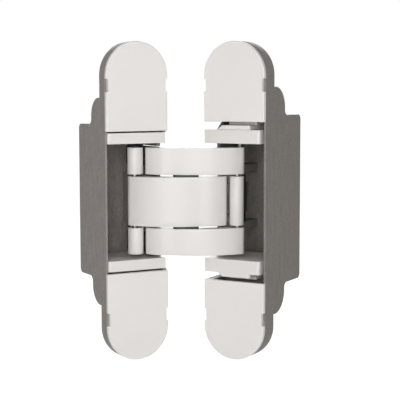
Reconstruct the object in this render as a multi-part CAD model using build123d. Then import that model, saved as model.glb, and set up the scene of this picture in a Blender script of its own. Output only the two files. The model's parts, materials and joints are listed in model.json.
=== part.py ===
from build123d import *
import math
import os

# Concealed door hinge, 134 x 28 mm faceplates, shown 123 degrees open.
# Frame side: faceplate plane is XZ at y = 0, the pocket runs into the frame along +Y.
# Origin: centre of the frame-side faceplate. +X points to the knuckle side, +Z up the pins.
# Every piece is first laid out in a body frame (x toward the knuckles, y into the body).
# Door-side pieces are the mirror image across the plane that halves the fold.

# Faceplates and covers
PLATE_HEIGHT = 134.0
PLATE_WIDTH = 28.0
COVER_THICK = 1.75
COVER_EDGE = 0.45
NOTCH_HEIGHT = 5.4
NOTCH_DEPTH = 0.9
NOTCH_Z = 48.8
FRAME_COVER_GAP = 0.7
DOOR_COVER_GAP = 3.4
PEG_RADIUS = 1.5
PEG_LENGTH = 3.6
PEG_X = 9.6
PEG_Z = 55.2
PEG_CLEAR = 0.05
PEG_END_GAP = 0.5

# Housings: flange, stepped screw housing and deep pocket
FRAME_FLANGE = 5.5
FRAME_STEP = 14.4
FRAME_DEPTH = 28.0
FRAME_POCKET_PAST = 2.7
FRAME_STEP_PAST = 4.1
FRAME_FLANGE_PAST = 7.1
DOOR_FLANGE = 8.2
DOOR_STEP = 18.9
DOOR_DEPTH = 35.0
DOOR_POCKET_PAST = 2.4
DOOR_STEP_PAST = 4.0
DOOR_FLANGE_PAST = 8.0
OUTER_WALL = 0.8
KNUCKLE_WALL = 1.5
BACK_WALL = 1.8
END_WALL = 1.8
STEP_CHAMFER = 1.5
STEP_ROUND_OUT = 0.72
STEP_ROUND_DOWN = 0.28
BACK_CORNER = 2.2
POCKET_CORNER = 2.0
ARM_WINDOW_PAST = 1.2
SHOULDER_WINDOW_DEPTH = 7.0
WINDOW_CLEAR = 0.3
DOOR_MOUTH_DEPTH = 10.0
DOOR_MOUTH_END_DEPTH = 15.0
DOOR_MOUTH_DROP = 0.2
SILL_DEPTH = 12.0
SILL_RIM = 3.5
CUT_PAST = 1.0

# Wood screw holes under the covers
SCREW_HOLE_RADIUS = 2.4
SCREW_HEAD_RADIUS = 4.3
SCREW_SINK = 2.4
SCREW_SPACING = 8.9
SCREW_PAST_STEP = 2.6

# Fold: plan positions seen in the frame-side body, y into the body
REST_OPENING = 123.0
ROOT_PIN_X = 8.7
ROOT_PIN_TO_BACK = 4.9
ARM_REACH = 31.74
ARM_ANGLE_CLOSED = 126.76
ARM_SHARE = 0.4521
LEVER_PIN_X = 9.0
PIN_SPACING = 6.05
LEVER_LENGTH = 12.49
LEVER_ANGLE_CLOSED = 192.5
LEVER_SHARE = 0.553

# Plan outline of one arm: distance along the root-to-centre line, rise to its bowed side
ARM_HEEL = ((0, 3.2), (7.5, 2.9), (9.8, 3.5), (12.2, 4.5), (14.0, 5.9), (15.4, 7.4))
ARM_SHOULDER = ((15.4, 7.4), (16.2, 8.6), (17.4, 9.4), (19.0, 9.6))
ARM_FRONT = (
    (19.0, 9.6), (22.0, 9.2), (25.0, 8.0), (28.5, 5.4), (32.0, 3.1), (36.0, 0.1),
    (39.6, -3.0), (43.4, -7.6), (46.3, -13.0), (47.79, -17.91),
)
ARM_INSIDE = (
    (0, -3.2), (7.5, -2.7), (13.5, -1.8), (19.0, 0.2), (25.2, 0.6), (29.6, -2.9),
    (35.6, -7.4), (38.8, -11.4), (41.79, -17.91),
)
FRAME_BARREL_RADIUS = 3.3
DOOR_BARREL_RADIUS = 3.0
ARM_END_RADIUS = 3.0
LEVER_WAIST = 0.8
ROOT_RADIUS = 3.2
ARM_END_ALONG = 44.79
ARM_END_RISE = -17.91
REAR_REACH = 15.6

# Levels of the knuckle stack
STACK_HALF = 22.6
MIDDLE_HALF = 10.4
LEVEL_GAP = 1.0
PLATE_THICK = 2.8
FORK_THICK = 3.4
REAR_GAP = 0.4

# Pins, bushes, collars and washers
ROOT_PIN_RADIUS = 1.75
CENTRE_PIN_RADIUS = 1.5
END_PIN_RADIUS = 1.2
LEVER_PIN_RADIUS = 1.5
RUNNING_FIT = 0.05
BUSH_WALL = 0.6
OPEN_PIVOT_CLEAR = 1.2
COLLAR_RADIUS = 2.6
HUB_RADIUS = 3.0
SHIM_RADIUS = 5.4
FACE_CLEAR = 0.05

# Pin blocks
BLOCK_GAP = 1.9
FRAME_BLOCK_THICK = 4.5
DOOR_BLOCK_THICK = 5.7
BLOCK_SIDE_CLEAR = 0.15
BLOCK_TO_BACK = 1.6
FRAME_LIP = 0.2
DOOR_LIP = 1.4
FRAME_NOSE = (-13.0, 13.6)
DOOR_NOSE = (-11.8, 13.9)
NOSE_CORNER = 1.2
PIN_IN_BLOCK = 3.6
SLIDE_THICK = 1.8
SLIDE_OUTER = 7.0
SLIDE_KNUCKLE = 8.2
SLIDE_SLANT = 2.0
CARRIAGE_FRONT = 6.0
CARRIAGE_GAP = 0.15
SLOT_LENGTH = 10.0
SLOT_WIDTH = 4.6
BOSS_HALF_X = 3.2
BOSS_TOP = 12.1
BOSS_GAP = 0.3

# Setting and clamping screws under the covers
SET_SCREW_RADIUS = 2.5
SET_SCREW_HEAD = 3.6
SET_SCREW_HEAD_LENGTH = 3.0
SET_SCREW_HEX = 1.5
SET_SCREW_SOCKET = 1.8
SET_SCREW_X = 0.0
CLAMP_SCREW_RADIUS = 1.75
CLAMP_SCREW_HEAD = 3.0
CLAMP_SCREW_X = 8.2
SCREW_RECESS = 0.4
SCREW_ROW_GAP = 0.6

PLATE_HALF = PLATE_HEIGHT / 2
HALF_WIDTH = PLATE_WIDTH / 2
POCKET_OUTER = -HALF_WIDTH + OUTER_WALL
POCKET_KNUCKLE = HALF_WIDTH - KNUCKLE_WALL
OUTER_BOTTOM = MIDDLE_HALF + LEVEL_GAP
REAR_BOTTOM = OUTER_BOTTOM + PLATE_THICK + REAR_GAP
FORK_BOTTOM = MIDDLE_HALF - FORK_THICK
MIDDLE_REAR_HALF = FORK_BOTTOM - REAR_GAP
BLOCK_BOTTOM = STACK_HALF + BLOCK_GAP
FRAME_BLOCK_TOP = BLOCK_BOTTOM + FRAME_BLOCK_THICK
DOOR_BLOCK_TOP = BLOCK_BOTTOM + DOOR_BLOCK_THICK
PIN_REACH = BLOCK_BOTTOM + PIN_IN_BLOCK
FRAME_COVER_END = FRAME_BLOCK_TOP + FRAME_COVER_GAP
DOOR_COVER_END = DOOR_BLOCK_TOP + DOOR_COVER_GAP
FRAME_POCKET_Z = FRAME_COVER_END + FRAME_POCKET_PAST
FRAME_STEP_Z = FRAME_POCKET_Z + FRAME_STEP_PAST
FRAME_FLANGE_Z = FRAME_STEP_Z + FRAME_FLANGE_PAST
DOOR_POCKET_Z = DOOR_COVER_END + DOOR_POCKET_PAST
DOOR_STEP_Z = DOOR_POCKET_Z + DOOR_STEP_PAST
DOOR_FLANGE_Z = DOOR_STEP_Z + DOOR_FLANGE_PAST
DOOR_MOUTH_Z = DOOR_BLOCK_TOP - DOOR_MOUTH_DROP
SCREW_Z_INNER = DOOR_FLANGE_Z + SCREW_PAST_STEP
SCREW_Z_OUTER = SCREW_Z_INNER + SCREW_SPACING
ROOT_PIN_DEPTH = FRAME_DEPTH - BACK_WALL - ROOT_PIN_TO_BACK
LEVER_PIN_DEPTH = ROOT_PIN_DEPTH - PIN_SPACING
ARM_WINDOW_DEPTH = ROOT_PIN_DEPTH + ARM_WINDOW_PAST
BLOCK_BACK = FRAME_DEPTH - BACK_WALL - BLOCK_TO_BACK
LEVER_TOP = OUTER_BOTTOM + PLATE_THICK
FRAME_INSIDE_Z = FRAME_POCKET_Z - END_WALL
DOOR_INSIDE_Z = DOOR_COVER_END + FACE_CLEAR
CORNER_MID = 1 - math.sqrt(0.5)
BOSS_HALF = OUTER_BOTTOM - BOSS_GAP
ROOT = (ROOT_PIN_X, ROOT_PIN_DEPTH)
LEVER_PIN = (LEVER_PIN_X, LEVER_PIN_DEPTH)


def step_from(point, angle, distance):
    """Plan point at a distance and an angle; angles grow from +X toward the outside (-Y)."""
    a = math.radians(angle)
    return (point[0] + distance * math.cos(a), point[1] - distance * math.sin(a))


ARM_ANGLE = ARM_ANGLE_CLOSED - ARM_SHARE * REST_OPENING
CENTRE = step_from(ROOT, ARM_ANGLE, ARM_REACH)
LEVER_ANGLE = LEVER_ANGLE_CLOSED - LEVER_SHARE * REST_OPENING
LEVER_END = step_from(LEVER_PIN, LEVER_ANGLE, LEVER_LENGTH)
FOLD_HALF = math.radians(REST_OPENING / 2)
FOLD_PLANE = Plane(
    origin=(CENTRE[0], CENTRE[1], 0),
    z_dir=(math.sin(FOLD_HALF), -math.cos(FOLD_HALF), 0),
)


def to_door(shape):
    """Carry a piece laid out in the body frame over to the door side."""
    return mirror(shape, about=FOLD_PLANE)


def below(shape):
    """Turn an upper piece into its lower twin."""
    return mirror(shape, about=Plane.XY)


def arm_point(along, rise):
    """Plan point in the arm's own frame: along its reach, and out to its bowed side."""
    foot = step_from(ROOT, ARM_ANGLE, along)
    return step_from(foot, ARM_ANGLE + 90, rise)


def cylinder_z(point, radius, bottom, top):
    return Pos(point[0], point[1], bottom) * extrude(Circle(radius), top - bottom)


def block(x_range, y_range, z_range):
    size = [b - a for a, b in (x_range, y_range, z_range)]
    low = (x_range[0], y_range[0], z_range[0])
    return Pos(*low) * Box(*size, align=(Align.MIN, Align.MIN, Align.MIN))


def cylinder_y(x, z, radius, front, back):
    """Round bar or bore along the depth."""
    return Pos(x, front, z) * Rot(-90, 0, 0) * extrude(Circle(radius), back - front)


def arm_outline():
    """Bow-shaped plan of one arm, from its root barrel to its far knuckle."""
    heel, shoulder, front, inside = (
        Spline(*[arm_point(*p) for p in run])
        for run in (ARM_HEEL, ARM_SHOULDER, ARM_FRONT, ARM_INSIDE)
    )
    root_end = Line(inside @ 0, heel @ 0)
    knuckle_end = Line(front @ 1, inside @ 1)
    face = make_face([heel, shoulder, front, knuckle_end, inside, root_end])
    face += Pos(*ROOT) * Circle(ROOT_RADIUS)
    face += Pos(*arm_end()) * Circle(ARM_END_RADIUS)
    return face


def arm_solid(face, bottom, top, rear_bottom, rear_top):
    """Arm of full height at the front and stepped at the rear, where the lever plates pass."""
    arm = Pos(0, 0, bottom) * extrude(face, top - bottom)
    low = cylinder_z(ROOT, REAR_REACH, bottom - CUT_PAST, rear_bottom)
    high = cylinder_z(ROOT, REAR_REACH, rear_top, top + CUT_PAST)
    if rear_bottom > bottom:
        arm -= low
    if rear_top < top:
        arm -= high
    return arm


def outer_arm():
    arm = arm_solid(arm_outline(), OUTER_BOTTOM, STACK_HALF, REAR_BOTTOM, STACK_HALF)
    top = STACK_HALF + CUT_PAST
    arm -= cylinder_z(ROOT, ROOT_PIN_RADIUS + RUNNING_FIT + BUSH_WALL, 0, top)
    arm -= cylinder_z(CENTRE, CENTRE_PIN_RADIUS + RUNNING_FIT + BUSH_WALL, 0, top)
    arm -= cylinder_z(arm_end(), END_PIN_RADIUS, 0, top)
    return arm


def middle_arm():
    rear = MIDDLE_REAR_HALF
    arm = arm_solid(arm_outline(), -MIDDLE_HALF, MIDDLE_HALF, -rear, rear)
    reach = MIDDLE_HALF + CUT_PAST
    arm -= cylinder_z(ROOT, ROOT_PIN_RADIUS + RUNNING_FIT + BUSH_WALL, -reach, reach)
    arm -= cylinder_z(CENTRE, CENTRE_PIN_RADIUS, -reach, reach)
    arm -= cylinder_z(arm_end(), END_PIN_RADIUS, -reach, reach)
    return to_door(arm)


def arm_end():
    return arm_point(ARM_END_ALONG, ARM_END_RISE)


def lever_plate(bottom, top, eye):
    """Flat link from the lever pin to the knuckle, waisted between its two eyes."""
    across = math.radians(LEVER_ANGLE)
    nx, ny = math.sin(across), math.cos(across)
    mid = step_from(LEVER_PIN, LEVER_ANGLE, LEVER_LENGTH / 2)
    waist = HUB_RADIUS * LEVER_WAIST
    sides = []
    for sign in (1, -1):
        a = (LEVER_PIN[0] + sign * nx * HUB_RADIUS, LEVER_PIN[1] + sign * ny * HUB_RADIUS)
        b = (mid[0] + sign * nx * waist, mid[1] + sign * ny * waist)
        c = (LEVER_END[0] + sign * nx * eye, LEVER_END[1] + sign * ny * eye)
        sides.append(ThreePointArc(a, b, c))
    ends = [Line(sides[0] @ 0, sides[1] @ 0), Line(sides[0] @ 1, sides[1] @ 1)]
    face = make_face([*sides, *ends])
    face += Pos(*LEVER_PIN) * Circle(HUB_RADIUS)
    face += Pos(*LEVER_END) * Circle(eye)
    return Pos(0, 0, bottom) * extrude(face, top - bottom)


def frame_lever():
    lever = lever_plate(OUTER_BOTTOM, LEVER_TOP, FRAME_BARREL_RADIUS)
    lever += cylinder_z(LEVER_END, FRAME_BARREL_RADIUS, OUTER_BOTTOM, STACK_HALF)
    lever -= cylinder_z(LEVER_END, END_PIN_RADIUS + OPEN_PIVOT_CLEAR, 0, STACK_HALF + CUT_PAST)
    lever -= cylinder_z(LEVER_PIN, LEVER_PIN_RADIUS + RUNNING_FIT, 0, STACK_HALF)
    return lever


def door_lever():
    reach = MIDDLE_HALF + CUT_PAST
    lever = lever_plate(FORK_BOTTOM, MIDDLE_HALF, DOOR_BARREL_RADIUS)
    lever += below(lever)
    lever += cylinder_z(LEVER_END, DOOR_BARREL_RADIUS, -MIDDLE_HALF, MIDDLE_HALF)
    lever -= cylinder_z(LEVER_END, END_PIN_RADIUS + OPEN_PIVOT_CLEAR, -reach, reach)
    lever -= cylinder_z(LEVER_PIN, LEVER_PIN_RADIUS + RUNNING_FIT, -reach, reach)
    return to_door(lever)


def stadium(front, back):
    """Round-ended faceplate outline, swept along the depth."""
    outline = SlotOverall(PLATE_HEIGHT, PLATE_WIDTH, rotation=90)
    return Pos(0, front, 0) * Rot(90, 0, 0) * extrude(outline, front - back)


def side_profile(flange, step, depth, flange_z, step_z, pocket_z):
    """Upper half of the housing's side view: flange, rounded screw housing, deep pocket."""
    bend = (step - flange) * STEP_ROUND_OUT
    drop = (flange_z - step_z) * STEP_ROUND_DOWN
    pts = [
        Line((0, 0), (0, PLATE_HALF)),
        Line((0, PLATE_HALF), (flange, PLATE_HALF)),
        Line((flange, PLATE_HALF), (flange, flange_z)),
        ThreePointArc(
            (flange, flange_z),
            (flange + bend, flange_z - drop),
            (step, step_z),
        ),
        Line((step, step_z), (step, pocket_z + STEP_CHAMFER)),
        Line((step, pocket_z + STEP_CHAMFER), (step + STEP_CHAMFER, pocket_z)),
        Line((step + STEP_CHAMFER, pocket_z), (depth - BACK_CORNER, pocket_z)),
        ThreePointArc(
            (depth - BACK_CORNER, pocket_z),
            (depth - BACK_CORNER * CORNER_MID, pocket_z - BACK_CORNER * CORNER_MID),
            (depth, pocket_z - BACK_CORNER),
        ),
        Line((depth, pocket_z - BACK_CORNER), (depth, 0)),
        Line((depth, 0), (0, 0)),
    ]
    return make_face(pts)


def side_plane(x):
    """Sketch plane of a side view: depth to the right, height up."""
    return Plane(origin=(x, 0, 0), x_dir=(0, 1, 0), z_dir=(1, 0, 0))


def raw_housing(profile, depth, inside_z):
    half = extrude(side_plane(-HALF_WIDTH) * profile, PLATE_WIDTH)
    body = (half + below(half)) & stadium(0, depth)
    pocket = block(
        (POCKET_OUTER, POCKET_KNUCKLE), (-CUT_PAST, depth - BACK_WALL), (-inside_z, inside_z)
    )
    return body - fillet(pocket.edges().filter_by(Axis.Z).group_by(Axis.Y)[-1], POCKET_CORNER)


def knuckle_window(depth, bottom, top):
    """Opening in the wall on the knuckle side, from the front down to a depth."""
    span = (POCKET_KNUCKLE - CUT_PAST, HALF_WIDTH + CUT_PAST)
    return block(span, (-CUT_PAST, depth), (bottom, top))


def door_mouth():
    """Opening of the door side's knuckle wall between the covers, deeper at its two ends."""
    deep, end = DOOR_MOUTH_DEPTH, DOOR_MOUTH_END_DEPTH
    outline = make_face(Polyline(
        (-CUT_PAST, -DOOR_INSIDE_Z), (end, -DOOR_INSIDE_Z), (deep, -DOOR_MOUTH_Z),
        (deep, DOOR_MOUTH_Z), (end, DOOR_INSIDE_Z), (-CUT_PAST, DOOR_INSIDE_Z), close=True,
    ))
    return extrude(side_plane(POCKET_KNUCKLE - CUT_PAST) * outline, KNUCKLE_WALL + 2 * CUT_PAST)


def door_sill():
    """Relief in the pocket's upper end just behind the cover, inside a rim."""
    span = (POCKET_OUTER, HALF_WIDTH - SILL_RIM)
    return block(span, (-CUT_PAST, SILL_DEPTH), (DOOR_INSIDE_Z - CUT_PAST, DOOR_POCKET_Z))


def screw_bores(depth):
    """Countersunk wood screw holes, peg holes and screw bores of one end."""
    bores = []
    for z in (SCREW_Z_OUTER, SCREW_Z_INNER):
        bores.append(cylinder_y(0, z, SCREW_HOLE_RADIUS, -CUT_PAST, depth))
        cone = Cone(SCREW_HEAD_RADIUS, SCREW_HOLE_RADIUS, SCREW_SINK)
        bores.append(Pos(0, SCREW_SINK / 2, z) * Rot(-90, 0, 0) * cone)
    for x in (-PEG_X, PEG_X):
        bore = cylinder_y(x, PEG_Z, PEG_RADIUS + PEG_CLEAR, -CUT_PAST, PEG_LENGTH + PEG_END_GAP)
        bores.append(bore)
    return bores


def setting_row_z(pocket_z):
    """Height of the row of setting and clamping screws, in the step above the pocket."""
    return pocket_z + SET_SCREW_HEAD + SCREW_ROW_GAP


def setting_screw(x, z, head, shank, length):
    """Socket screw set into the step from the front."""
    head_end = SCREW_RECESS + SET_SCREW_HEAD_LENGTH
    screw = cylinder_y(x, z, head, SCREW_RECESS, head_end)
    screw += cylinder_y(x, z, shank, head_end, length)
    socket = extrude(RegularPolygon(SET_SCREW_HEX, 6), SET_SCREW_SOCKET)
    return screw - Pos(x, SCREW_RECESS, z) * Rot(-90, 0, 0) * socket


def screws_of_body(pocket_z, step):
    """Setting screws and clamping screws of one body, as two groups of solids."""
    z = setting_row_z(pocket_z)
    length = step - END_WALL
    setting = []
    clamping = []
    for flip in (False, True):
        main = setting_screw(SET_SCREW_X, z, SET_SCREW_HEAD, SET_SCREW_RADIUS, length)
        setting.append(below(main) if flip else main)
        for x in (-CLAMP_SCREW_X, CLAMP_SCREW_X):
            clamp = setting_screw(x, z, CLAMP_SCREW_HEAD, CLAMP_SCREW_RADIUS, length)
            clamping.append(below(clamp) if flip else clamp)
    return setting, clamping


def setting_bores(pocket_z, step):
    z = setting_row_z(pocket_z)
    length = step - END_WALL
    head_end = SCREW_RECESS + SET_SCREW_HEAD_LENGTH
    bores = []
    for x, head, shank in (
        (SET_SCREW_X, SET_SCREW_HEAD, SET_SCREW_RADIUS),
        (-CLAMP_SCREW_X, CLAMP_SCREW_HEAD, CLAMP_SCREW_RADIUS),
        (CLAMP_SCREW_X, CLAMP_SCREW_HEAD, CLAMP_SCREW_RADIUS),
    ):
        bores.append(cylinder_y(x, z, head, -CUT_PAST, head_end))
        bores.append(cylinder_y(x, z, shank, 0, length))
    return bores


def housing(body, depth, step, pocket_z, boss_levels, openings):
    """Finish a raw housing: lever pin bosses, openings on the knuckle side, screw bores."""
    for bottom, top in boss_levels:
        body += block(
            (LEVER_PIN_X - BOSS_HALF_X, POCKET_KNUCKLE + KNUCKLE_WALL / 2),
            (BOSS_TOP, depth - BACK_WALL / 2),
            (bottom, top),
        )
        body -= cylinder_z(LEVER_PIN, LEVER_PIN_RADIUS, bottom, top)
        body -= cylinder_z(ROOT, ROOT_PIN_RADIUS, bottom, top)
    for opening in openings:
        body -= opening
    for bore in screw_bores(step + CUT_PAST) + setting_bores(pocket_z, step):
        body -= bore
        body -= below(bore)
    return body


def frame_housing():
    profile = side_profile(
        FRAME_FLANGE, FRAME_STEP, FRAME_DEPTH, FRAME_FLANGE_Z, FRAME_STEP_Z, FRAME_POCKET_Z
    )
    raw = raw_housing(profile, FRAME_DEPTH, FRAME_INSIDE_Z)
    mouth_z = FRAME_BLOCK_TOP + FACE_CLEAR
    top = STACK_HALF + WINDOW_CLEAR
    shoulder = knuckle_window(SHOULDER_WINDOW_DEPTH, OUTER_BOTTOM - WINDOW_CLEAR, top)
    rear = knuckle_window(ARM_WINDOW_DEPTH, REAR_BOTTOM - WINDOW_CLEAR, top)
    openings = [
        knuckle_window(FRAME_FLANGE, -mouth_z, mouth_z),
        shoulder, below(shoulder), rear, below(rear),
    ]
    bosses = [(-BOSS_HALF, BOSS_HALF)]
    return housing(raw, FRAME_DEPTH, FRAME_STEP, FRAME_POCKET_Z, bosses, openings)


def door_housing():
    profile = side_profile(
        DOOR_FLANGE, DOOR_STEP, DOOR_DEPTH, DOOR_FLANGE_Z, DOOR_STEP_Z, DOOR_POCKET_Z
    )
    raw = raw_housing(profile, DOOR_DEPTH, DOOR_INSIDE_Z)
    rear_top = MIDDLE_REAR_HALF + WINDOW_CLEAR
    openings = [
        door_mouth(), door_sill(), below(door_sill()),
        knuckle_window(ARM_WINDOW_DEPTH, -rear_top, rear_top),
    ]
    bosses = [(MIDDLE_HALF + BOSS_GAP, LEVER_TOP), (-LEVER_TOP, -MIDDLE_HALF - BOSS_GAP)]
    return to_door(housing(raw, DOOR_DEPTH, DOOR_STEP, DOOR_POCKET_Z, bosses, openings))


def cover(end_z):
    """Clip-on cover of one end: thin plate with side notches and two pegs."""
    plate = stadium(-COVER_THICK, 0)
    half_cut = HALF_WIDTH + CUT_PAST
    depth_cut = (-COVER_THICK - CUT_PAST, CUT_PAST)
    plate -= block((-half_cut, half_cut), depth_cut, (-PLATE_HALF - CUT_PAST, end_z))
    plate = fillet(plate.edges().group_by(Axis.Y)[0], COVER_EDGE)
    for side in (-1, 1):
        span = sorted((side * (HALF_WIDTH - NOTCH_DEPTH), side * half_cut))
        notch_z = (NOTCH_Z - NOTCH_HEIGHT / 2, NOTCH_Z + NOTCH_HEIGHT / 2)
        plate -= block(span, depth_cut, notch_z)
        plate += cylinder_y(side * PEG_X, PEG_Z, PEG_RADIUS, 0, PEG_LENGTH)
    return plate


def pin_block(top, lip, flange, nose_span):
    """Block in the pocket's end that holds the root pin, with a nose across the flange."""
    body_span = (POCKET_OUTER + BLOCK_SIDE_CLEAR, POCKET_KNUCKLE - BLOCK_SIDE_CLEAR)
    body = block(body_span, (flange, BLOCK_BACK), (BLOCK_BOTTOM, top))
    nose = block(nose_span, (-lip, flange), (BLOCK_BOTTOM, top))
    outer_front = nose.edges().filter_by(Axis.Z).group_by(Axis.X)[0].group_by(Axis.Y)[0]
    nose = fillet(outer_front, NOSE_CORNER)
    pin_hole = cylinder_z(ROOT, ROOT_PIN_RADIUS, BLOCK_BOTTOM - CUT_PAST, PIN_REACH)
    return body + nose - pin_hole


def slide_plate():
    """Tongue above the door-side block, its raised carriage behind, and their long hole."""
    bottom = DOOR_BLOCK_TOP + FACE_CLEAR
    top = bottom + SLIDE_THICK
    carriage_top = DOOR_INSIDE_Z - CARRIAGE_GAP
    slant_end = SLIDE_KNUCKLE - SLIDE_SLANT
    outline = make_face(Polyline(
        (-SLIDE_OUTER, bottom), (SLIDE_KNUCKLE, bottom), (slant_end, top), (-SLIDE_OUTER, top),
        close=True,
    ))
    front = -DOOR_LIP / 2
    plate = Pos(0, front, 0) * Rot(90, 0, 0) * extrude(outline, front - BLOCK_BACK)
    plate += block((-SLIDE_OUTER, slant_end), (CARRIAGE_FRONT, BLOCK_BACK), (top, carriage_top))
    slot = SlotOverall(SLOT_LENGTH, SLOT_WIDTH, rotation=90)
    cut = extrude(slot, carriage_top - bottom + 2 * CUT_PAST)
    return plate - Pos(0, (CARRIAGE_FRONT + BLOCK_BACK) / 2, bottom - CUT_PAST) * cut


def centre_shim():
    """Thrust shim between two arms at the crossing, cut flush with the arm's outline."""
    around = Pos(*CENTRE) * (Circle(SHIM_RADIUS) - Circle(CENTRE_PIN_RADIUS))
    thick = LEVEL_GAP - FACE_CLEAR
    return Pos(0, 0, MIDDLE_HALF) * extrude(arm_outline() & around, thick)


def ring(point, inner, outer, bottom, top):
    bore = cylinder_z(point, inner, bottom - CUT_PAST, top + CUT_PAST)
    return cylinder_z(point, outer, bottom, top) - bore


def save(name, *solids):
    shape = solids[0] if len(solids) == 1 else Compound(children=list(solids))
    shape.label = name
    export_step(shape, f"parts/{name}.step")


def save_pair(name, upper):
    save(f"{name}_upper", upper)
    save(f"{name}_lower", below(upper))


def save_frame_side():
    save("frame_housing", frame_housing())
    save_pair("frame_cover", cover(FRAME_COVER_END))
    save_pair("frame_block", pin_block(FRAME_BLOCK_TOP, FRAME_LIP, FRAME_FLANGE, FRAME_NOSE))
    save("frame_root_pin", cylinder_z(ROOT, ROOT_PIN_RADIUS, -PIN_REACH, PIN_REACH))
    save("frame_lever_pin", cylinder_z(LEVER_PIN, LEVER_PIN_RADIUS, -LEVER_TOP, LEVER_TOP))
    setting, clamping = screws_of_body(FRAME_POCKET_Z, FRAME_STEP)
    save("frame_setting_screws", *setting)
    save("frame_clamp_screws", *clamping)
    inner = ring(ROOT, ROOT_PIN_RADIUS, COLLAR_RADIUS, BOSS_HALF, REAR_BOTTOM - FACE_CLEAR)
    outer = ring(ROOT, ROOT_PIN_RADIUS, COLLAR_RADIUS, STACK_HALF + FACE_CLEAR, BLOCK_BOTTOM)
    save("frame_inner_collars", inner, below(inner))
    save("frame_outer_collars", outer, below(outer))


def save_door_side():
    save("door_housing", door_housing())
    save_pair("door_cover", to_door(cover(DOOR_COVER_END)))
    save_pair("door_block", to_door(pin_block(DOOR_BLOCK_TOP, DOOR_LIP, DOOR_FLANGE, DOOR_NOSE)))
    save_pair("door_slide_plate", to_door(slide_plate()))
    save("door_root_pin", to_door(cylinder_z(ROOT, ROOT_PIN_RADIUS, -PIN_REACH, PIN_REACH)))
    lever_pin = cylinder_z(LEVER_PIN, LEVER_PIN_RADIUS, FORK_BOTTOM, LEVER_TOP)
    save_pair("door_lever_pin", to_door(lever_pin))
    setting, clamping = screws_of_body(DOOR_POCKET_Z, DOOR_STEP)
    save("door_setting_screws", *[to_door(s) for s in setting])
    save("door_clamp_screws", *[to_door(s) for s in clamping])
    collar_bottom = MIDDLE_REAR_HALF + FACE_CLEAR
    collar = ring(ROOT, ROOT_PIN_RADIUS, COLLAR_RADIUS, collar_bottom, MIDDLE_HALF + BOSS_GAP)
    save("door_collars", to_door(collar), to_door(below(collar)))


def save_arms():
    save_pair("outer_arm", outer_arm())
    save("middle_arm", middle_arm())
    save_pair("frame_lever", frame_lever())
    save("door_lever", door_lever())
    save("centre_pin", cylinder_z(CENTRE, CENTRE_PIN_RADIUS, -STACK_HALF, STACK_HALF))
    end_pin = cylinder_z(arm_end(), END_PIN_RADIUS, -STACK_HALF, STACK_HALF)
    save("outer_end_pin", end_pin)
    save("middle_end_pin", to_door(end_pin))
    bore = ROOT_PIN_RADIUS + RUNNING_FIT
    save_pair("outer_root_bush", ring(ROOT, bore, bore + BUSH_WALL, REAR_BOTTOM, STACK_HALF))
    rear = MIDDLE_REAR_HALF
    save("middle_root_bush", to_door(ring(ROOT, bore, bore + BUSH_WALL, -rear, rear)))
    bore = CENTRE_PIN_RADIUS + RUNNING_FIT
    save_pair("centre_bush", ring(CENTRE, bore, bore + BUSH_WALL, OUTER_BOTTOM, STACK_HALF))
    save_pair("centre_shim", to_door(centre_shim()))


os.makedirs("parts", exist_ok=True)
save_frame_side()
save_door_side()
save_arms()
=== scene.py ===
"""Looks of the concealed door hinge: satin white covers and arms, raw cast housings."""

import json
import math

import bpy
from mathutils import Matrix, Vector

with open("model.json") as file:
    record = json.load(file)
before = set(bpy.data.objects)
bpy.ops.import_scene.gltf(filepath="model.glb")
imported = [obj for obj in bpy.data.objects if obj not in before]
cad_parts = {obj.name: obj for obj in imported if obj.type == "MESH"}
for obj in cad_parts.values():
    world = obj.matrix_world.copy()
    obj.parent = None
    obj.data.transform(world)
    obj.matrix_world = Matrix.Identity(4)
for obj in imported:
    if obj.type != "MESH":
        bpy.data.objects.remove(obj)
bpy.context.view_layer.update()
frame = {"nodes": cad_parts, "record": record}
nodes = frame["nodes"]

MM = 0.001

# Camera fitted to the photograph: place in metres, angles in degrees, lens and sensor in mm
CAMERA_AT = (-0.208376, -0.445565, 0.049092)
CAMERA_YAW = 28.184
CAMERA_PITCH = -5.618
CAMERA_ROLL = -0.105
CAMERA_LENS = 105.75
SENSOR_WIDTH = 36.0
CAMERA_NEAR, CAMERA_FAR = 0.01, 20.0

# Lamps: name, place, side of the square (m) and power (W); all of them face LAMP_TARGET
LAMP_TARGET = (0.02, 0.0, 0.0)
LAMPS = (
    ("front_lamp", (-0.36, -0.66, 0.07), 0.45, 3.2),
    ("key_lamp", (-0.52, -0.54, 0.26), 0.6, 1.1),
    ("right_lamp", (0.28, -0.80, 0.30), 0.5, 0.8),
    ("back_lamp", (0.45, 0.85, 0.40), 0.7, 4.0),
)

# Light that the white world sends onto the hinge, where 1 is the white that the camera sees
WORLD_LIGHT = 0.08

# Floor: half its side and its height (m), and how far it glows white for the camera
FLOOR_REACH = 4.0
FLOOR_HEIGHT = -0.13
FLOOR_PALE = (0.9, 0.9, 0.9, 1)
FLOOR_ROUGHNESS = 0.9
FLOOR_GLOW = 1.2
FLOOR_GLOW_SHARE = 0.85

# Soft edges of the CAD pieces: their radius for each slot, and what counts as a crisp edge
EDGE_RADIUS = {
    "cover_paint": 0.15 * MM,
    "arm_paint": 0.45 * MM,
    "block_paint": 0.35 * MM,
    "zinc": 0.3 * MM,
}
CRISP_ANGLE = math.radians(35)
EDGE_SEGMENTS = 2
WELD_DISTANCE = 0.002 * MM

# Parts of a noise's range that are drawn out to the whole of 0 to 1
WHOLE = (0.0, 1.0)
NOISE_RANGE = (0.3, 0.7)
CLOUD_RANGE = (0.35, 0.65)
BREAKUP_RANGE = (0.3, 0.6)

# Die casting: the clouds' z is scaled down, so they are drawn out along the upright
DRAWN_ALONG_Z = 0.25
COARSE_SCALE = 700.0
GRAIN_SHARE_OF_HEIGHT = 0.6

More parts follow.
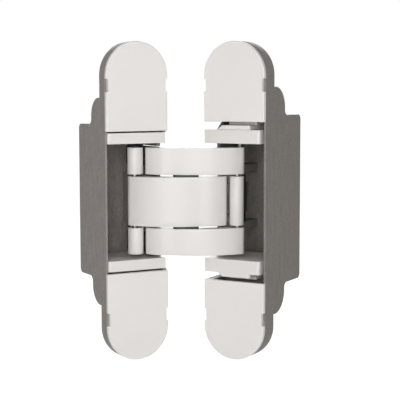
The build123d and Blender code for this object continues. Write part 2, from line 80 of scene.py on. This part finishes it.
# Edge mask, worn on the paint and worn with a painted highlight on the zinc: radius and rays of
# the search, and the least mask where it is broken up
EDGE_SEARCH_RADIUS = 0.35 * MM
EDGE_SEARCH_SAMPLES = 6
LEAST_EDGE_MASK = 0.35

# How far the roughness drifts below and above its value, on paint and on bare metal
COAT_DRIFT = (-0.04, 0.05)
METAL_DRIFT = (-0.06, 0.08)

# Paint: light tone and shade of each coat, with the rubbed edge and the painted shade of the arms'
# heels; the arms' and levers' coat is the covers' paint made darker, as painted shade against the
# stronger light that falls on them
COVER_WHITE = ((0.84, 0.81, 0.785, 1), (0.82, 0.79, 0.765, 1))
ARM_WHITE_PAINTED_SHADE = ((0.755, 0.73, 0.706, 1), (0.735, 0.71, 0.687, 1))
BLOCK_WHITE = ((0.80, 0.775, 0.75, 1), (0.77, 0.745, 0.72, 1))
RUBBED_WHITE = (0.62, 0.60, 0.58, 1)
HEEL_PAINTED_SHADE = (0.045, 0.043, 0.04, 1)
COAT_ROUGHNESS = 0.42
ARM_ROUGHNESS = 0.38
PAINT_WEAR = 4.0
PAINT_RUB = 0.25
PAINT_BUMP = 0.10
PEEL_HEIGHT = 0.02 * MM

# Painted shade on the arms' heels: upright root pin in plan (x, y), and how far the shaded heel
# reaches from it
OUTER_HEEL_SHADE = (8.7 * MM, 21.3 * MM, 15.7 * MM)
MIDDLE_HEEL_SHADE = (49.731 * MM, -0.978 * MM, 9.0 * MM)
HEEL_SHADE_FADE = 0.3 * MM

# Raw zinc: light and dark tone of each casting, the door's a darker copy as painted shade, the
# rubbed edge lightened by wear and a painted highlight, speckle, gloss and bump
FRAME_ZINC = ((0.37, 0.337, 0.312, 1), (0.275, 0.25, 0.231, 1))
DOOR_ZINC_PAINTED_SHADE = ((0.3, 0.277, 0.252, 1), (0.235, 0.217, 0.197, 1))
RUBBED_ZINC_AND_HIGHLIGHT = (0.42, 0.40, 0.37, 1)
ZINC_SPECKLE = 0.45
SPECKLE_SHADE = 0.55
ZINC_WEAR_AND_HIGHLIGHT = 5.0
ZINC_RUB_AND_HIGHLIGHT = 0.45
ZINC_METALLIC = 0.1
ZINC_SPECULAR = 0.12
ZINC_ROUGHNESS = 0.5
ZINC_BUMP = 0.35
GRAIN_HEIGHT = 0.05 * MM

# Steel: tone and roughness of the pins and the screws, and their fine streak
PIN_STEEL = (0.28, 0.275, 0.27, 1)
PIN_ROUGHNESS = 0.3
SCREW_STEEL = (0.62, 0.62, 0.63, 1)
SCREW_ROUGHNESS = 0.35
STREAK_SCALE = 1800.0
STREAK_SHADE = 0.8

# Bearing plastic of the bushes and collars; the centre shims take it too, as painted shade in the
# gaps between the arms
BEARING_BLACK = ((0.03, 0.03, 0.03, 1), (0.012, 0.012, 0.012, 1))
BEARING_ROUGHNESS = 0.5
BEARING_PEEL_SCALE = 2200.0
BEARING_BUMP = 0.2

# Pieces whose finish isn't their slot's plain one
OWN_FINISH = {
    "outer_arm_upper": "outer_arm",
    "outer_arm_lower": "outer_arm",
    "middle_arm": "middle_arm",
    # The centre shims take the dark bearing finish in place of their paint: painted shade in the
    # gaps between the arms
    "centre_shim_upper": "bearing",
    "centre_shim_lower": "bearing",
    # The door casting takes a darker copy of the zinc: painted shade
    "door_housing": "door_zinc_painted_shade",
}


# Nodes


def new_group(name, inputs, outputs):
    """Shader node group with number sockets; inputs are (name, default)."""
    group = bpy.data.node_groups.new(name, "ShaderNodeTree")
    for label, value in inputs:
        socket = group.interface.new_socket(label, in_out="INPUT", socket_type="NodeSocketFloat")
        socket.default_value = value
    for label in outputs:
        group.interface.new_socket(label, in_out="OUTPUT", socket_type="NodeSocketFloat")
    return group, group.nodes.new("NodeGroupInput"), group.nodes.new("NodeGroupOutput")


def place_group(tree, group, **values):
    """A group in a tree, with its own values; Peel_Scale stands for the socket Peel Scale."""
    node = tree.nodes.new("ShaderNodeGroup")
    node.node_tree = group
    for label, value in values.items():
        node.inputs[label.replace("_", " ")].default_value = value
    return node


def feed(tree, socket, value):
    """Link a socket to another one, or set it to a number or colour."""
    if isinstance(value, bpy.types.NodeSocket):
        tree.links.new(value, socket)
    else:
        socket.default_value = value


def object_place(tree):
    return tree.nodes.new("ShaderNodeTexCoord").outputs["Object"]


def math_node(tree, operation, *values, clamp=False):
    node = tree.nodes.new("ShaderNodeMath")
    node.operation = operation
    node.use_clamp = clamp
    for socket, value in zip(node.inputs, values):
        feed(tree, socket, value)
    return node.outputs[0]


def noise_node(tree, vector, scale, detail=2.0, roughness=0.5):
    node = tree.nodes.new("ShaderNodeTexNoise")
    node.inputs["Detail"].default_value = detail
    node.inputs["Roughness"].default_value = roughness
    feed(tree, node.inputs["Vector"], vector)
    feed(tree, node.inputs["Scale"], scale)
    return node.outputs["Fac"]


def stretch(tree, value, taken, given=WHOLE):
    """Map the range taken, a pair, onto the range given."""
    node = tree.nodes.new("ShaderNodeMapRange")
    node.inputs["From Min"].default_value, node.inputs["From Max"].default_value = taken
    node.inputs["To Min"].default_value, node.inputs["To Max"].default_value = given
    feed(tree, node.inputs["Value"], value)
    return node.outputs["Result"]


def mix_colour(tree, factor, a, b):
    node = tree.nodes.new("ShaderNodeMix")
    node.data_type = "RGBA"
    # The Mix node's colours are its inputs 6 and 7 and its output 2
    for index, value in ((0, factor), (6, a), (7, b)):
        feed(tree, node.inputs[index], value)
    return node.outputs[2]


def vary_roughness(tree, shader, mask, taken, middle, drift):
    """Let the roughness drift about its middle value with a mask's range."""
    spread = (middle + drift[0], middle + drift[1])
    feed(tree, shader.inputs["Roughness"], stretch(tree, mask, taken, spread))


def bump_into(tree, shader, height, strength, distance):
    bump = tree.nodes.new("ShaderNodeBump")
    bump.inputs["Strength"].default_value = strength
    bump.inputs["Distance"].default_value = distance
    feed(tree, bump.inputs["Height"], height)
    feed(tree, shader.inputs["Normal"], bump.outputs["Normal"])


def darkened(colour, share):
    return tuple(c * share for c in colour[:3]) + (1,)


# Effects shared by several finishes


def casting_grain_group():
    """Skin of a die casting: fine grain, wider clouds, and a height for the bump."""
    group, inp, out = new_group(
        "casting_grain",
        [("Grain Scale", 1100.0), ("Cloud Scale", 420.0)],
        ["Grain", "Clouds", "Height"],
    )
    place = object_place(group)
    grain = noise_node(group, place, inp.outputs["Grain Scale"], detail=3.0, roughness=0.65)
    drawn = group.nodes.new("ShaderNodeVectorMath")
    drawn.operation = "MULTIPLY"
    drawn.inputs[1].default_value = (1.0, 1.0, DRAWN_ALONG_Z)
    feed(group, drawn.inputs[0], place)
    clouds = noise_node(
        group, drawn.outputs[0], inp.outputs["Cloud Scale"], detail=5.0, roughness=0.7
    )
    coarse = noise_node(group, place, COARSE_SCALE)
    fine = math_node(group, "MULTIPLY", grain, GRAIN_SHARE_OF_HEIGHT)
    feed(group, out.inputs["Grain"], stretch(group, grain, NOISE_RANGE))
    feed(group, out.inputs["Clouds"], stretch(group, clouds, CLOUD_RANGE))
    feed(group, out.inputs["Height"], math_node(group, "ADD", fine, coarse))
    return group


def satin_skin_group():
    """Sprayed satin paint: faint tone drift and the fine orange peel of its surface."""
    group, inp, out = new_group(
        "satin_skin",
        [("Peel Scale", 1500.0), ("Drift Scale", 40.0)],
        ["Drift", "Height"],
    )
    place = object_place(group)
    peel = noise_node(group, place, inp.outputs["Peel Scale"], detail=1.5)
    drift = noise_node(group, place, inp.outputs["Drift Scale"], detail=3.0)
    feed(group, out.inputs["Drift"], stretch(group, drift, NOISE_RANGE))
    feed(group, out.inputs["Height"], peel)
    return group


def worn_and_sheen_edge_group():
    """Mask of what lies near an edge, broken up so that it isn't an even line."""
    group, inp, out = new_group(
        "worn_and_sheen_edge",
        [("Breakup Scale", 900.0), ("Strength", 6.0)],
        ["Mask"],
    )
    bevel = group.nodes.new("ShaderNodeBevel")
    bevel.samples = EDGE_SEARCH_SAMPLES
    bevel.inputs["Radius"].default_value = EDGE_SEARCH_RADIUS
    geometry = group.nodes.new("ShaderNodeNewGeometry")
    dot = group.nodes.new("ShaderNodeVectorMath")
    dot.operation = "DOT_PRODUCT"
    feed(group, dot.inputs[0], bevel.outputs[0])
    feed(group, dot.inputs[1], geometry.outputs["Normal"])
    turned = math_node(group, "SUBTRACT", 1.0, dot.outputs["Value"])
    strong = math_node(group, "MULTIPLY", turned, inp.outputs["Strength"], clamp=True)
    breakup = noise_node(group, object_place(group), inp.outputs["Breakup Scale"])
    broken = stretch(group, breakup, BREAKUP_RANGE, (LEAST_EDGE_MASK, 1.0))
    feed(group, out.inputs["Mask"], math_node(group, "MULTIPLY", strong, broken))
    return group


def heel_shade_zone_group():
    """Mask of the painted shade on an arm's heel: what lies within a reach of its upright root
    pin.
    """
    group, inp, out = new_group(
        "heel_shade_zone",
        [("Pin X", 0.0), ("Pin Y", 0.0), ("Reach", 0.01)],
        ["Mask"],
    )
    split = group.nodes.new("ShaderNodeSeparateXYZ")
    feed(group, split.inputs[0], object_place(group))
    across = math_node(group, "SUBTRACT", split.outputs["X"], inp.outputs["Pin X"])
    inward = math_node(group, "SUBTRACT", split.outputs["Y"], inp.outputs["Pin Y"])
    across_square = math_node(group, "POWER", across, 2.0)
    inward_square = math_node(group, "POWER", inward, 2.0)
    away = math_node(group, "SQRT", math_node(group, "ADD", across_square, inward_square))
    past = math_node(group, "SUBTRACT", away, inp.outputs["Reach"])
    feed(group, out.inputs["Mask"], stretch(group, past, (0.0, HEEL_SHADE_FADE), (1.0, 0.0)))
    return group


GRAIN = casting_grain_group()
HEEL_SHADE = heel_shade_zone_group()
SATIN = satin_skin_group()
EDGE = worn_and_sheen_edge_group()


# Finishes


def new_material(name):
    material = bpy.data.materials.new(name)
    material.use_nodes = True
    tree = material.node_tree
    return material, tree, tree.nodes["Principled BSDF"]


def satin_white(name, light, shade, roughness=COAT_ROUGHNESS, heel=None):
    """Warm white satin coat, a little duller along the handled edges; an arm's heel gets painted
    shade.
    """
    material, tree, shader = new_material(name)
    skin = place_group(tree, SATIN)
    edge = place_group(tree, EDGE, Strength=PAINT_WEAR)
    tone = mix_colour(tree, skin.outputs["Drift"], shade, light)
    rub = math_node(tree, "MULTIPLY", edge.outputs["Mask"], PAINT_RUB)
    tone = mix_colour(tree, rub, tone, RUBBED_WHITE)
    # An arm's heel is darkened to near black by a mask: painted shade
    if heel:
        pin_x, pin_y, reach = heel
        zone = place_group(tree, HEEL_SHADE, Pin_X=pin_x, Pin_Y=pin_y, Reach=reach)
        tone = mix_colour(tree, zone.outputs["Mask"], tone, HEEL_PAINTED_SHADE)
    feed(tree, shader.inputs["Base Color"], tone)
    vary_roughness(tree, shader, skin.outputs["Drift"], WHOLE, roughness, COAT_DRIFT)
    bump_into(tree, shader, skin.outputs["Height"], PAINT_BUMP, PEEL_HEIGHT)
    return material


def raw_casting(name, light, dark):
    """Unpainted zinc casting: mottled grey, brighter along its edges, where wear and a painted
    highlight lighten it.
    """
    material, tree, shader = new_material(name)
    grain = place_group(tree, GRAIN)
    edge = place_group(tree, EDGE, Strength=ZINC_WEAR_AND_HIGHLIGHT)
    clouded = mix_colour(tree, grain.outputs["Clouds"], dark, light)
    speckle = stretch(tree, grain.outputs["Grain"], WHOLE, (0.0, ZINC_SPECKLE))
    grained = mix_colour(tree, speckle, clouded, darkened(dark, SPECKLE_SHADE))
    # The edge mask lightens the zinc: wear and a painted highlight
    rub = math_node(tree, "MULTIPLY", edge.outputs["Mask"], ZINC_RUB_AND_HIGHLIGHT)
    feed(tree, shader.inputs["Base Color"], mix_colour(tree, rub, grained, RUBBED_ZINC_AND_HIGHLIGHT))
    shader.inputs["Metallic"].default_value = ZINC_METALLIC
    shader.inputs["Specular IOR Level"].default_value = ZINC_SPECULAR
    vary_roughness(tree, shader, grain.outputs["Clouds"], WHOLE, ZINC_ROUGHNESS, METAL_DRIFT)
    bump_into(tree, shader, grain.outputs["Height"], ZINC_BUMP, GRAIN_HEIGHT)
    return material


def ground_steel(name, light, roughness):
    """Ground pin or plated screw: metal with a very fine streak."""
    material, tree, shader = new_material(name)
    streak = noise_node(tree, object_place(tree), STREAK_SCALE)
    tone = mix_colour(tree, streak, darkened(light, STREAK_SHADE), light)
    feed(tree, shader.inputs["Base Color"], tone)
    shader.inputs["Metallic"].default_value = 1.0
    vary_roughness(tree, shader, streak, NOISE_RANGE, roughness, METAL_DRIFT)
    return material


def moulded_bearing(name, light, dark):
    """Dark bearing plastic of the bushes and collars, also laid on the centre shims as painted
    shade.
    """
    material, tree, shader = new_material(name)
    skin = place_group(tree, SATIN, Peel_Scale=BEARING_PEEL_SCALE)
    feed(tree, shader.inputs["Base Color"], mix_colour(tree, skin.outputs["Drift"], dark, light))
    shader.inputs["Roughness"].default_value = BEARING_ROUGHNESS
    bump_into(tree, shader, skin.outputs["Height"], BEARING_BUMP, PEEL_HEIGHT)
    return material


finishes = {
    "cover_paint": satin_white("satin_white_cover", *COVER_WHITE),
    # The levers' and arms' coat is a darker copy of the cover paint: painted shade
    "arm_paint": satin_white("satin_white_lever", *ARM_WHITE_PAINTED_SHADE, ARM_ROUGHNESS),
    # The outer and middle arms carry painted shade on their heels
    "outer_arm": satin_white("satin_white_outer_arm", *ARM_WHITE_PAINTED_SHADE, ARM_ROUGHNESS, OUTER_HEEL_SHADE),
    "middle_arm": satin_white("satin_white_middle_arm", *ARM_WHITE_PAINTED_SHADE, ARM_ROUGHNESS, MIDDLE_HEEL_SHADE),
    "block_paint": satin_white("satin_white_block", *BLOCK_WHITE),
    "zinc": raw_casting("raw_zinc_casting", *FRAME_ZINC),
    # Darker copy of the zinc for the door casting: painted shade
    "door_zinc_painted_shade": raw_casting("raw_zinc_door_casting_painted_shade", *DOOR_ZINC_PAINTED_SHADE),
    "pin_steel": ground_steel("ground_pin_steel", PIN_STEEL, PIN_ROUGHNESS),
    "screw_steel": ground_steel("plated_screw_steel", SCREW_STEEL, SCREW_ROUGHNESS),
    "bearing": moulded_bearing("dark_bearing_plastic", *BEARING_BLACK),
}


def soften_edges(piece, width):
    """Round the crisp edges of a CAD piece by a small radius, as casting and paint do."""
    weld = piece.modifiers.new("joined_faces", "WELD")
    weld.merge_threshold = WELD_DISTANCE
    bevel = piece.modifiers.new("soft_edges", "BEVEL")
    bevel.width = width
    bevel.segments = EDGE_SEGMENTS
    bevel.limit_method = "ANGLE"
    bevel.angle_limit = CRISP_ANGLE
    bevel.harden_normals = True


slot_of_node = {part["node"]: part["material_slot"] for part in frame["record"]["subparts"]}
for name, piece in nodes.items():
    slot = slot_of_node[name]
    piece.data.materials.clear()
    piece.data.materials.append(finishes[OWN_FINISH.get(name, slot)])
    if slot in EDGE_RADIUS:
        soften_edges(piece, EDGE_RADIUS[slot])


# Studio


def seen_ray(tree):
    """1 for what the camera sees straight, mirrored or through glass, 0 for the other light."""
    path = tree.nodes.new("ShaderNodeLightPath")
    seen = math_node(tree, "MAXIMUM", path.outputs["Is Camera Ray"], path.outputs["Is Glossy Ray"])
    return math_node(tree, "MAXIMUM", seen, path.outputs["Is Transmission Ray"])


def white_seen_world():
    """World that is white where it is seen, and faint where it lights the hinge."""
    world = bpy.data.worlds.new("studio")
    world.use_nodes = True
    bpy.context.scene.world = world
    tree = world.node_tree
    background = tree.nodes["Background"]
    background.inputs["Color"].default_value = (1, 1, 1, 1)
    strength = stretch(tree, seen_ray(tree), WHOLE, (WORLD_LIGHT, 1.0))
    feed(tree, background.inputs["Strength"], strength)


def pale_floor():
    """Floor that takes the hinge's shadow and glows white where it is seen."""
    mesh = bpy.data.meshes.new("studio_floor")
    corners = [
        (x * FLOOR_REACH, y * FLOOR_REACH, FLOOR_HEIGHT)
        for x, y in ((-1, -1), (1, -1), (1, 1), (-1, 1))
    ]
    mesh.from_pydata(corners, [], [(0, 1, 2, 3)])
    floor = bpy.data.objects.new("studio_floor", mesh)
    bpy.context.scene.collection.objects.link(floor)
    material, tree, shader = new_material("pale_studio_floor")
    shader.inputs["Base Color"].default_value = FLOOR_PALE
    shader.inputs["Roughness"].default_value = FLOOR_ROUGHNESS
    glow = tree.nodes.new("ShaderNodeEmission")
    glow.inputs["Strength"].default_value = FLOOR_GLOW
    mix = tree.nodes.new("ShaderNodeMixShader")
    feed(tree, mix.inputs[0], math_node(tree, "MULTIPLY", seen_ray(tree), FLOOR_GLOW_SHARE))
    feed(tree, mix.inputs[1], shader.outputs[0])
    feed(tree, mix.inputs[2], glow.outputs[0])
    feed(tree, tree.nodes["Material Output"].inputs["Surface"], mix.outputs[0])
    mesh.materials.append(material)


def soft_lamp(name, at, side, power):
    lamp = bpy.data.lights.new(name, "AREA")
    lamp.shape = "SQUARE"
    lamp.size = side
    lamp.energy = power
    holder = bpy.data.objects.new(name, lamp)
    holder.location = at
    holder.rotation_mode = "QUATERNION"
    holder.rotation_quaternion = (Vector(LAMP_TARGET) - Vector(at)).to_track_quat("-Z", "Y")
    bpy.context.scene.collection.objects.link(holder)


def photo_camera():
    data = bpy.data.cameras.new("photo_camera")
    data.lens = CAMERA_LENS
    data.sensor_width = SENSOR_WIDTH
    data.clip_start, data.clip_end = CAMERA_NEAR, CAMERA_FAR
    camera = bpy.data.objects.new("photo_camera", data)
    bpy.context.scene.collection.objects.link(camera)
    yaw, pitch, roll = (math.radians(a) for a in (CAMERA_YAW, CAMERA_PITCH, CAMERA_ROLL))
    level = math.cos(pitch)
    ahead = Vector((math.sin(yaw) * level, math.cos(yaw) * level, math.sin(pitch)))
    right = Vector((math.cos(yaw), -math.sin(yaw), 0.0))
    up = right.cross(ahead)
    right, up = (
        right * math.cos(roll) + up * math.sin(roll),
        up * math.cos(roll) - right * math.sin(roll),
    )
    turn = Matrix((right, up, -ahead)).transposed()
    camera.matrix_world = Matrix.Translation(CAMERA_AT) @ turn.to_4x4()
    bpy.context.scene.camera = camera


white_seen_world()
pale_floor()
for lamp_row in LAMPS:
    soft_lamp(*lamp_row)
photo_camera()
bpy.context.scene.view_settings.view_transform = "Standard"
